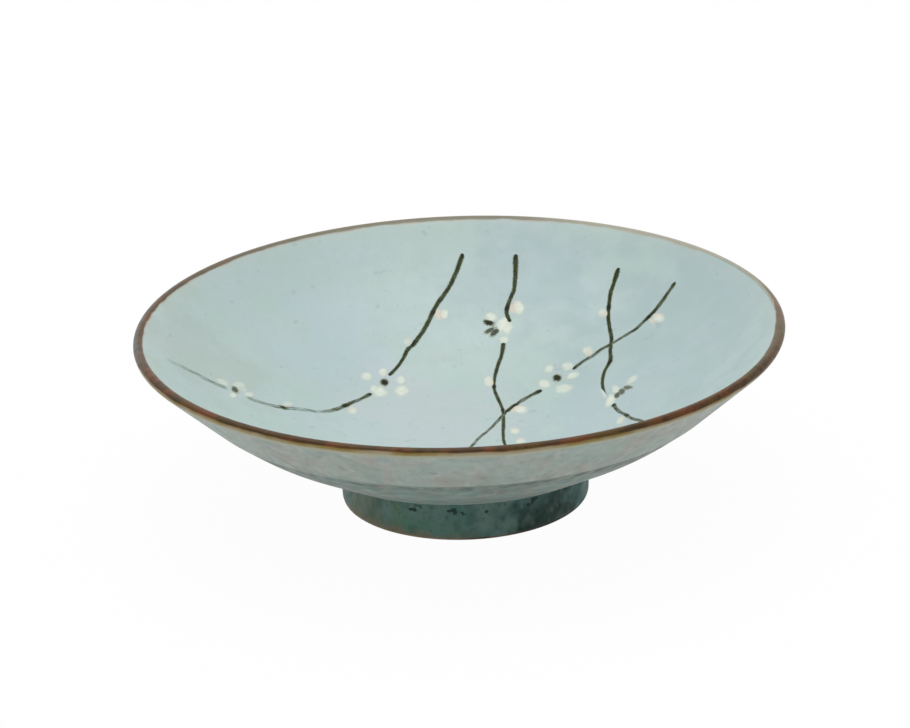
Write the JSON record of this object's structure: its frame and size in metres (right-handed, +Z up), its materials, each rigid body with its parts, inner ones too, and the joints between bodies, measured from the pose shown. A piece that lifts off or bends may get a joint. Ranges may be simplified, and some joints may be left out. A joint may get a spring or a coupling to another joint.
{
  "type": "serving bowl",
  "caption": "Wide, shallow stoneware serving bowl on a turned foot ring, with a brown glazed lip and brushed plum branches on a pale blue grey inside.",
  "frame": {"origin": "centre of the plane that the foot ring stands on", "axes": "+Z up along the bowl's turning axis, -Y towards the viewer of the picture, +X to the viewer's right"},
  "size_m": [0.25, 0.25, 0.07],
  "materials": {
    "fired_clay": "dry unglazed stoneware, light brown grey",
    "inside_glaze": "pale blue grey glaze, soft gloss",
    "rim_glaze": "iron brown glaze, soft gloss",
    "wall_glaze": "mottled grey green glaze, half matt",
    "belly_glaze": "mottled grey green glaze, darker, half matt",
    "foot_glaze": "dark teal glaze, soft gloss",
    "iron_slip": "dark olive brown brushed iron slip under glaze",
    "cream_slip": "cream slip in raised dabs under glaze",
    "stamen_slip": "near black iron slip under glaze"
  },
  "bodies": {
    "root": {"back_blossom_eye": "iron_slip", "back_blossom_petal_1": "cream_slip", "back_blossom_petal_2": "cream_slip", "back_blossom_petal_3": "cream_slip", "back_blossom_petal_4": "cream_slip", "back_blossom_petal_5": "cream_slip", "belly_glaze": "belly_glaze", "bowl_body": "fired_clay", "bud_1": "cream_slip", "bud_10": "cream_slip", "bud_11": "cream_slip", "bud_12": "cream_slip", "bud_13": "cream_slip", "bud_2": "cream_slip", "bud_3": "cream_slip", "bud_4": "cream_slip", "bud_5": "cream_slip", "bud_6": "cream_slip", "bud_7": "cream_slip", "bud_8": "cream_slip", "bud_9": "cream_slip", "foot_glaze": "foot_glaze", "foot_ring": "fired_clay", "inside_glaze": "inside_glaze", "left_blossom_eye": "iron_slip", "left_blossom_petal_1": "cream_slip", "left_blossom_petal_2": "cream_slip", "left_blossom_petal_3": "cream_slip", "left_blossom_petal_4": "cream_slip", "left_blossom_petal_5": "cream_slip", "left_branch_middle": "iron_slip", "left_branch_tip": "iron_slip", "left_branch_top": "iron_slip", "middle_branch_top": "iron_slip", "middle_branch_trunk": "iron_slip", "middle_side_blossom_petal_1": "cream_slip", "middle_side_blossom_petal_2": "cream_slip", "middle_side_blossom_petal_3": "cream_slip", "middle_side_blossom_stamens": "stamen_slip", "recess_glaze": "foot_glaze", "right_blossom_eye": "iron_slip", "right_blossom_petal_1": "cream_slip", "right_blossom_petal_2": "cream_slip", "right_blossom_petal_3": "cream_slip", "right_blossom_petal_4": "cream_slip", "right_blossom_petal_5": "cream_slip", "right_branch_tip": "iron_slip", "right_branch_top": "iron_slip", "right_side_blossom_petal_1": "cream_slip", "right_side_blossom_petal_2": "cream_slip", "right_side_blossom_petal_3": "cream_slip", "right_side_blossom_stamens": "stamen_slip", "rim_glaze": "rim_glaze", "slanting_branch_inner": "iron_slip", "slanting_branch_middle": "iron_slip", "slanting_branch_top": "iron_slip", "slanting_branch_trunk": "iron_slip", "wall_glaze": "wall_glaze"}
  },
  "joints": []
}
